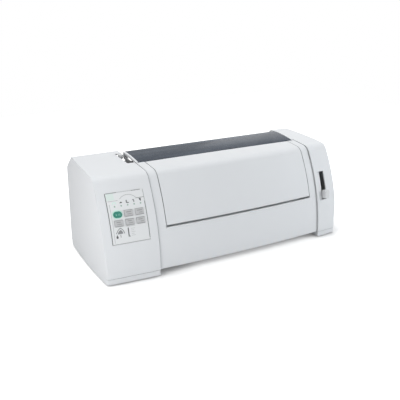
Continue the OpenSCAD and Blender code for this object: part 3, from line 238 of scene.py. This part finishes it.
def printed_board(top):
    """Solder resist with faint copper tracks. What stands higher than top, in metres, is black components."""
    material, tree, shader = new_material("solder_resist")
    coords = object_coords(tree)
    tracks = add(tree, "ShaderNodeTexBrick", in_Scale=160.0, in_Mortar_Size=0.06, in_Brick_Width=2.4,
                 in_Row_Height=0.35, in_Color1=(0.012, 0.085, 0.040, 1.0),
                 in_Color2=(0.018, 0.115, 0.055, 1.0), in_Mortar=(0.060, 0.230, 0.110, 1.0))
    tree.links.new(coords, tracks.inputs["Vector"])
    grime = noise(tree, coords, 60.0, 3.0)
    black = blended(tree, grime, (0.018, 0.018, 0.020), (0.040, 0.040, 0.044))
    place = add(tree, "ShaderNodeSeparateXYZ")
    tree.links.new(coords, place.inputs["Vector"])
    pick = add(tree, "ShaderNodeMixRGB")
    tree.links.new(calculated(tree, "GREATER_THAN", place.outputs["Z"], top), pick.inputs["Fac"])
    tree.links.new(tracks.outputs["Color"], pick.inputs["Color1"])
    tree.links.new(black, pick.inputs["Color2"])
    tree.links.new(pick.outputs["Color"], shader.inputs["Base Color"])
    tree.links.new(ranged(tree, grime, 0.22, 0.5), shader.inputs["Roughness"])
    tree.links.new(bumped(tree, tracks.outputs["Fac"], 0.3, 0.1 * MM), shader.inputs["Normal"])
    return material


# ------------------------------------------------------------------ the materials, by slot or ink

BOARD_TOP = 7.8 * MM  # stand-offs and board, from the underside of the main board's node

MATERIALS = {
    # Housings, covers and trim
    # the housing's colour carries painted shade near its seams and corners
    "housing": moulded("housing_abs", (0.775, 0.792, 0.812), grain=0.3, bevel=0.0009, spread=0.012,
                       seam_shade_reach=0.005, specular=0.15),
    "smoked": smoked(),
    "lever": moulded("lever_abs", (0.70, 0.71, 0.72), rough=0.4, bevel=0.0009),
    # Operator panel
    "panel": moulded("panel_film", (0.79, 0.805, 0.815), rough=0.34, grain=0.12, bevel=0.0004, spread=0.01,
                     specular=0.3),
    "lamp": moulded("lamp_lens", (0.36, 0.50, 0.42), rough=0.15, grain=0.0, bevel=0.0004, spread=0.05,
                    coat=0.6),
    "green_key": moulded("green_key", (0.03, 0.23, 0.17), rough=0.38, grain=0.2, bevel=0.0009, spread=0.04),
    "grey_key": moulded("grey_key", (0.54, 0.545, 0.555), rough=0.42, grain=0.2, bevel=0.0009),
    # Inks
    "ink": printed_ink("printed_ink", (0.10, 0.105, 0.11)),
    "line_ink": printed_ink("printed_line", (0.15, 0.155, 0.16), spread=0.25),
    "mid_ink": printed_ink("printed_mid_grey", (0.26, 0.27, 0.275), spread=0.08),
    "grey_ink": printed_ink("printed_grey", (0.42, 0.43, 0.44), spread=0.04),
    "faint_ink": printed_ink("printed_faint", (0.55, 0.56, 0.57)),
    "mint_ink": printed_ink("printed_mint", (0.60, 0.86, 0.76), spread=0.03),
    "pale_ink": printed_ink("printed_pale", (0.72, 0.81, 0.775), spread=0.02, rough=0.45),
    "key_ink": printed_ink("key_legend", (0.30, 0.305, 0.31)),
    "green_key_ink": printed_ink("key_legend_mint", (0.22, 0.52, 0.42), spread=0.02),
    # Mechanism
    "steel": moulded("zinc_steel", (0.50, 0.51, 0.53), rough=0.34, grain=0.2, grain_size=0.0012,
                     bevel=0.0004, spread=0.08, metallic=1.0, smudge=0.12, edge_wear_and_highlight=0.15),
    "brass": moulded("brass", (0.60, 0.42, 0.16), rough=0.3, grain=0.2, bevel=0.0003, spread=0.1,
                     metallic=1.0),
    "head": moulded("head_casting", (0.045, 0.045, 0.05), rough=0.4, grain=0.6, grain_size=0.001, spread=0.15,
                    metallic=0.4, edge_wear_and_highlight=0.6),
    "dark_plastic": moulded("dark_plastic", (0.035, 0.036, 0.040), rough=0.48, grain=0.4, spread=0.12,
                            edge_wear_and_highlight=0.5),
    "grey_plastic": moulded("acetal", (0.36, 0.37, 0.39), rough=0.42, bevel=0.0004, spread=0.06),
    "rubber": moulded("rubber", (0.022, 0.022, 0.024), rough=0.72, grain=0.5, grain_size=0.0009, spread=0.15),
    "ribbon": moulded("inked_ribbon", (0.012, 0.012, 0.016), rough=0.7, grain=0.9, grain_size=0.0004,
                      bevel=0.0, spread=0.3),
    "knob": moulded("blue_knob", (0.03, 0.10, 0.36), rough=0.3, grain=0.15, spread=0.06),
    "board": printed_board(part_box("main_board")[0][2] + BOARD_TOP),
}


def dress_nodes():
    """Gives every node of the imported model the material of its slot."""
    for row in frame["record"]["subparts"]:
        slots = frame["nodes"][row["node"]].data.materials
        slots.clear()
        slots.append(MATERIALS[row["material_slot"]])


dress_nodes()


# ------------------------------------------------------------------ mesh helpers


def finish_mesh(name, bm, material, body):
    """Makes the mesh a piece of that name, which rides on the body."""
    mesh = bpy.data.meshes.new(name)
    bmesh.ops.recalc_face_normals(bm, faces=bm.faces)
    bm.to_mesh(mesh)
    bm.free()
    mesh.materials.append(MATERIALS[material])
    piece = bpy.data.objects.new(name, mesh)
    bpy.context.scene.collection.objects.link(piece)
    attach(piece, body)


def on_front(x, z, depth, proud=0.0):
    """The point at x and z, in millimetres, that lies depth under a face standing proud of the cover's."""
    side = FRONT_R - math.sqrt((FRONT_R - depth) ** 2 - (z - SKIRT) ** 2)
    reach = BOW_R + proud - side
    y = BOW_R - math.sqrt(reach * reach - x * x) - FRONT
    return Vector((x, y, z)) * MM


# ------------------------------------------------------------------ prints on the operator panel

INK = 0.06  # thickness of the ink over the panel
THICK_INK = 0.16  # on a wide print, whose flat face would cut into the bowed panel
KEY_INK = 0.1
INK_ROOT = 0.02  # how far a print reaches into what it lies on
STEP = 8.0  # a line is laid in pieces of about this length, so that it follows the bow


def lay_fill(bm, outline, depth, thick):
    """A filled print: a closed outline of x, z points."""
    face = [bm.verts.new(on_front(x, z, depth - thick, PROUD)) for x, z in outline]
    root = [bm.verts.new(on_front(x, z, depth + INK_ROOT, PROUD)) for x, z in outline]
    bm.faces.new(face)
    bm.faces.new(root[::-1])
    count = len(outline)
    for i in range(count):
        j = (i + 1) % count
        bm.faces.new((face[i], root[i], root[j], face[j]))


def lay_line(bm, width, path, depth, thick):
    """A printed line of that width along a path of x, z points."""
    for start, end in zip(path, path[1:]):
        dx, dz = end[0] - start[0], end[1] - start[1]
        length = math.hypot(dx, dz)
        nx, nz = -dz / length * width / 2, dx / length * width / 2
        parts = max(1, int(length / STEP))
        for k in range(parts):
            ax, az = start[0] + dx * k / parts, start[1] + dz * k / parts
            bx, bz = start[0] + dx * (k + 1) / parts, start[1] + dz * (k + 1) / parts
            corners = [(ax - nx, az - nz), (bx - nx, bz - nz), (bx + nx, bz + nz), (ax + nx, az + nz)]
            lay_fill(bm, corners, depth, thick)


def print_on_panel(name, ink, lines=(), fills=(), thick=INK):
    """One print on the panel. Lines are pairs of a width and a path, and fills are outlines."""
    bm = bmesh.new()
    for outline in fills:
        lay_fill(bm, outline, PANEL_SINK, thick)
    for width, path in lines:
        lay_line(bm, width, path, PANEL_SINK, thick)
    finish_mesh(name, bm, ink, "chassis")


def level(z, x_from, x_to):
    """A level line."""
    return [(x_from, z), (x_to, z)]


def upright(x, z_from, z_to):
    """An upright line."""
    return [(x, z_from), (x, z_to)]


def arc(x, z, radius, start, end, steps=14):
    """Points on an arc about x, z, from one angle to the other in degrees."""
    angles = [math.radians(start + (end - start) * i / steps) for i in range(steps + 1)]
    return [(x + radius * math.cos(a), z + radius * math.sin(a)) for a in angles]


def capsule(x, z, width, height):
    """An outline with round ends about x, z."""
    half = (width - height) / 2
    return arc(x + half, z, height / 2, -90, 90, 10) + arc(x - half, z, height / 2, 90, 270, 10)


def moved(points, x, z):
    """Points drawn about the origin, moved to x, z."""
    return [(x + px, z + pz) for px, pz in points]


HEADER_Z = 177.0  # where the header above the lamps ends
CORNER = 26.0  # length of the lines that turn round the panel's corners
SIDE_TOP = HEADER_Z - 8.0  # where the right edge's line grows wider


def print_frame():
    """The lines round the panel and under its header."""
    print_on_panel("panel_dark_lines", "line_ink", lines=[
        (1.6, upright(LEFT + 0.8, LOW + 0.6, TOP - 0.5)),
        (0.9, level(TOP - 0.6, LEFT + 2.0, LEFT + CORNER)),
        (0.9, level(TOP - 0.6, RIGHT - CORNER, RIGHT - 6.0)),
        (0.9, level(HEADER_Z, RIGHT - 20.0, RIGHT - 0.9)),
        (1.1, upright(RIGHT - 0.9, SIDE_TOP, LOW + 4.0)),
    ])
    print_on_panel("panel_grey_lines", "grey_ink", lines=[
        (0.6, level(TOP - 0.5, LEFT + CORNER, RIGHT - CORNER)),
        (1.3, level(LOW + 0.7, LEFT + 1.6, RIGHT)),
        (0.6, upright(RIGHT - 0.7, TOP - 1.0, SIDE_TOP)),
        (0.8, upright(LEFT + 6.5, HEADER_Z - 6.0, LOW + 4.0)),
        (0.7, level(HEADER_Z, LEFT + 4.0, LEFT + CORNER)),
        (0.9, arc(-246.0, 160.0, 26.0, 132.0, 46.0)),
    ])


def print_header():
    """The pale block at the left of the header, in strips that follow the panel's curve."""
    strip = 3.3
    lines = [(strip, level(180.2 + strip * i, LEFT + 2.2, LEFT + 19.0)) for i in range(4)]
    print_on_panel("panel_header_block", "pale_ink", lines)


def print_key_surround():
    """The pale mint ring round the start key."""
    ring = capsule(BUTTON_X[0], BUTTON_Z[0], BUTTON_W + 4.6, BUTTON_H + 5.0)
    print_on_panel("start_key_surround", "mint_ink", fills=[ring], thick=THICK_INK)


def print_lamp_symbols():
    """A plain stroke or shape above each lamp."""
    _, wedge_x, corner_x, hook_x, drop_x = LAMP_X
    wedge = [(-3.0, -1.4), (0.4, 1.8), (0.8, 0.6), (3.0, 0.6), (3.0, -1.6)]
    drop = [(-2.6, 3.0), (2.2, 3.0), (2.2, -0.4), (0.8, -3.2), (-1.0, -0.4)]
    hook = [(-2.2, 1.8), (0.4, 1.8), (0.4, -3.0)]
    lines = [
        (2.2, upright(corner_x - 1.6, SYMBOL_Z + 3.2, SYMBOL_Z - 2.6)),
        (1.8, level(SYMBOL_Z - 2.4, corner_x - 1.0, corner_x + 3.4)),
        (1.7, moved(hook, hook_x, SYMBOL_Z)),
    ]
    fills = [moved(wedge, wedge_x, SYMBOL_Z), moved(drop, drop_x, SYMBOL_Z)]
    print_on_panel("lamp_symbols", "ink", lines, fills)
    arch = [(-3.4, -3.0), (-3.4, 1.0), (3.4, 1.0), (3.4, -3.0)]
    print_on_panel("first_lamp_symbol", "mint_ink", lines=[(1.1, moved(arch, LAMP_X[0], SYMBOL_Z))])


def print_loading_symbols():
    """The pictogram of the paper path, and the settings bar and table beside it."""
    cover = [(-283.0, 111.5), (-277.5, 119.0), (-272.5, 122.5), (-267.0, 117.5), (-264.5, 110.5)]
    paper = [(-280.5, 110.5), (-276.5, 116.5), (-272.5, 119.0), (-269.0, 115.5), (-267.5, 110.5)]
    stem = upright(-273.5, 109.0, 103.0)
    print_on_panel("paper_path_symbol", "mid_ink", lines=[(1.5, cover), (1.2, stem)], fills=[paper])
    pointer = [(-281.2, 109.6), (-278.8, 104.4), (-279.6, 101.6), (-282.8, 101.6), (-283.6, 104.4)]
    bar = [(2.3, upright(-255.6, 121.0, 102.5)), (1.4, level(102.9, -254.5, -252.2))]
    print_on_panel("settings_bar", "ink", lines=bar, fills=[pointer])
    rows = [level(104.0 + 3.6 * i, -249.5, -240.5 - 2.5 * (i % 2)) for i in range(5)]
    rows.append(level(123.6, -259.0, -239.5))
    print_on_panel("settings_table", "faint_ink", lines=[(0.9, row) for row in rows])


def start_legend(bm, x, z):
    """A triangle and two bars on the start key."""
    lay_fill(bm, [(x - 4.6, z - 2.2), (x - 4.6, z + 2.2), (x - 0.8, z)], -BUTTON_OUT, KEY_INK)
    for bar_x in (x + 2.0, x + 4.6):
        lay_line(bm, 1.2, upright(bar_x, z - 2.2, z + 2.2), -BUTTON_OUT, KEY_INK)


def grey_legend(bm, x, z, row, column):
    """Three bars on a grey key, whose lengths differ from key to key."""
    half = 5.5
    bars = [
        (1.5, level(z + 3.2, x - half, x + half - 2.0 * row)),
        (1.1, level(z - 1.2, x - half + 2.0 * column, x + half)),
        (1.4, level(z - 5.3, x - 8.2, x + 8.2)),
    ]
    for width, path in bars:
        lay_line(bm, width, path, -BUTTON_OUT, KEY_INK)


def print_key_legends():
    """A legend on each key, which rides on the key."""
    upper = ("start_button", "tear_off_button", "feed_button")
    lower = ("font_button", "pitch_button", "setup_button")
    for row, names in enumerate((upper, lower)):
        for column, body in enumerate(names):
            bm = bmesh.new()
            if body == "start_button":
                start_legend(bm, BUTTON_X[column], BUTTON_Z[row])
                finish_mesh(body + "_legend", bm, "green_key_ink", body)
            else:
                grey_legend(bm, BUTTON_X[column], BUTTON_Z[row], row, column)
                finish_mesh(body + "_legend", bm, "key_ink", body)


print_frame()
print_header()
print_key_surround()
print_lamp_symbols()
print_key_legends()
print_loading_symbols()


# ------------------------------------------------------------------ thin trim


def top_cover_skirt():
    """A thin rib under the front end of the top cover's left frame."""
    frame_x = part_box("top_cover_frame")[0][0]
    low = Vector((frame_x + 0.1 * MM, 24.0 * MM, 221.5 * MM))
    high = Vector((frame_x + 1.5 * MM, 50.0 * MM, 228.6 * MM))
    bm = bmesh.new()
    bmesh.ops.create_cube(bm, size=1.0)
    for vert in bm.verts:
        vert.co = [low[i] + (high[i] - low[i]) * (vert.co[i] + 0.5) for i in range(3)]
    bmesh.ops.bevel(bm, geom=list(bm.edges), offset=0.4 * MM, segments=2, affect="EDGES")
    finish_mesh("top_cover_skirt", bm, "housing", "top_cover")


def right_seam_lip():
    """A lip in the seam between the front cover and the right end housing, which follows the cover's face."""
    inner_x, outer_x = 252.5, 254.0  # from the clearance beside the front cover to the end housing's wall
    shallow, deep = 0.2, 3.4
    low_z, high_z = 20.0, 192.0
    steps = 32
    profile = ((inner_x, shallow), (outer_x, shallow), (outer_x, deep), (inner_x, deep))
    bm = bmesh.new()
    rings = []
    for i in range(steps + 1):
        z = low_z + (high_z - low_z) * i / steps
        rings.append([bm.verts.new(on_front(x, z, depth)) for x, depth in profile])
    for lower, upper in zip(rings, rings[1:]):
        for k in range(4):
            j = (k + 1) % 4
            bm.faces.new((lower[k], lower[j], upper[j], upper[k]))
    bm.faces.new(rings[0])
    bm.faces.new(rings[-1][::-1])
    finish_mesh("right_seam_lip", bm, "housing", "chassis")


top_cover_skirt()
right_seam_lip()


# ------------------------------------------------------------------ camera

LENS = 57.9
EYE = (-0.7621, -1.2836, 0.6069)
TILT, TURN = 18.6, 30.3  # degrees downward from level, and to the right of straight ahead


def set_camera():
    """The camera, at the photograph's place."""
    camera = bpy.data.cameras.new("camera")
    camera.sensor_width = 36.0
    camera.lens = LENS
    eye = bpy.data.objects.new("camera", camera)
    bpy.context.scene.collection.objects.link(eye)
    eye.location = EYE
    eye.rotation_euler = (math.radians(90 - TILT), 0.0, math.radians(-TURN))
    bpy.context.scene.camera = eye


set_camera()


# ------------------------------------------------------------------ lamps and world

PLAIN = (1.0, 1.0, 1.0)


def area_light(name, place, aim, size, watts, color=PLAIN):
    """A soft rectangular lamp that the camera doesn't see."""
    light = bpy.data.lights.new(name, "AREA")
    light.shape = "RECTANGLE"
    light.size, light.size_y = size
    light.energy = watts
    light.color = color
    lamp = bpy.data.objects.new(name, light)
    bpy.context.scene.collection.objects.link(lamp)
    lamp.visible_camera = False
    lamp.location = place
    lamp.rotation_euler = (Vector(aim) - Vector(place)).to_track_quat("-Z", "Y").to_euler()


area_light("overhead", (0.1, 0.7, 2.0), (0.0, 0.0, 0.1), (2.0, 1.6), 27.0)
area_light("rear_glow", (1.7, 1.8, 1.15), (0.2, 0.0, 0.2), (0.9, 0.7), 1.5)
area_light("front_fill", (0.9, -2.4, 1.1), (0.0, 0.0, 0.12), (1.8, 1.4), 6.0, (0.92, 0.965, 1.0))
area_light("left_fill", (-0.82, -0.40, 0.35), (-0.31, -0.12, 0.1), (0.4, 0.3), 2.15)
area_light("right_fill", (1.5, -1.0, 0.7), (0.25, 0.0, 0.12), (0.8, 0.6), 12.0, (0.94, 0.975, 1.0))

WORLD_LEVEL = 0.30  # on surfaces, where what is seen of the world is white


def seen_rays(tree, mirrored=1.0):
    """1 for what is seen straight or through a clear material, and mirrored for what a reflection shows."""
    rays = add(tree, "ShaderNodeLightPath").outputs
    direct = calculated(tree, "MULTIPLY_ADD", rays["Is Glossy Ray"], mirrored, rays["Is Camera Ray"])
    return calculated(tree, "MAXIMUM", direct, rays["Is Transmission Ray"])


def light_world():
    """A plain white world, dimmer as a light than as a background."""
    world = bpy.data.worlds.new("world")
    bpy.context.scene.world = world
    world.use_nodes = True
    tree = world.node_tree
    sky = tree.nodes["Background"]
    sky.inputs["Color"].default_value = (*PLAIN, 1.0)
    sky.inputs["Strength"].default_value = WORLD_LEVEL
    background = add(tree, "ShaderNodeBackground", in_Color=(*PLAIN, 1.0), in_Strength=1.0)
    mix = add(tree, "ShaderNodeMixShader")
    tree.links.new(seen_rays(tree), mix.inputs["Fac"])
    tree.links.new(sky.outputs["Background"], mix.inputs[1])
    tree.links.new(background.outputs["Background"], mix.inputs[2])
    tree.links.new(mix.outputs["Shader"], tree.nodes["World Output"].inputs["Surface"])


light_world()


# ------------------------------------------------------------------ floor

FLOOR_HALF = 1.8
FLOOR_COLOR = (0.82, 0.82, 0.82)
MIRRORED_FLOOR = 0.6  # how strongly the floor's glow shows in reflections
SHADOW_LEAN = (-0.75, 0.0, 0.66)  # the floor looks for cover this way, so that the shadow lies to the right
SHADOW_REACH = 0.09  # how far it looks


def floor_material():
    """A pale floor that glows white where it is seen, less under and beside the printer."""
    material, tree, shader = new_material("floor")
    shader.inputs["Base Color"].default_value = (*FLOOR_COLOR, 1.0)
    shader.inputs["Roughness"].default_value = 0.9
    shader.inputs["Specular IOR Level"].default_value = 0.1
    x, y, z = SHADOW_LEAN
    lean = add(tree, "ShaderNodeCombineXYZ", in_X=x, in_Y=y, in_Z=z)
    cover = add(tree, "ShaderNodeAmbientOcclusion", samples=16, in_Distance=SHADOW_REACH)
    tree.links.new(lean.outputs["Vector"], cover.inputs["Normal"])
    open_sky = ranged(tree, cover.outputs["AO"], 0.1, 0.75, start=0.55, end=0.95)
    glow = add(tree, "ShaderNodeEmission", in_Color=(*PLAIN, 1.0))
    strength = calculated(tree, "MULTIPLY", seen_rays(tree, MIRRORED_FLOOR), open_sky)
    tree.links.new(strength, glow.inputs["Strength"])
    both = add(tree, "ShaderNodeAddShader")
    tree.links.new(shader.outputs["BSDF"], both.inputs[0])
    tree.links.new(glow.outputs["Emission"], both.inputs[1])
    tree.links.new(both.outputs["Shader"], tree.nodes["Material Output"].inputs["Surface"])
    return material


def lay_floor():
    """A flat floor, which isn't part of the printer."""
    bm = bmesh.new()
    signs = ((-1, -1), (1, -1), (1, 1), (-1, 1))
    bm.faces.new([bm.verts.new((sx * FLOOR_HALF, sy * FLOOR_HALF, 0.0)) for sx, sy in signs])
    mesh = bpy.data.meshes.new("floor")
    bm.to_mesh(mesh)
    bm.free()
    mesh.materials.append(floor_material())
    floor = bpy.data.objects.new("floor", mesh)
    bpy.context.scene.collection.objects.link(floor)


lay_floor()

bpy.context.scene.view_settings.view_transform = "Standard"
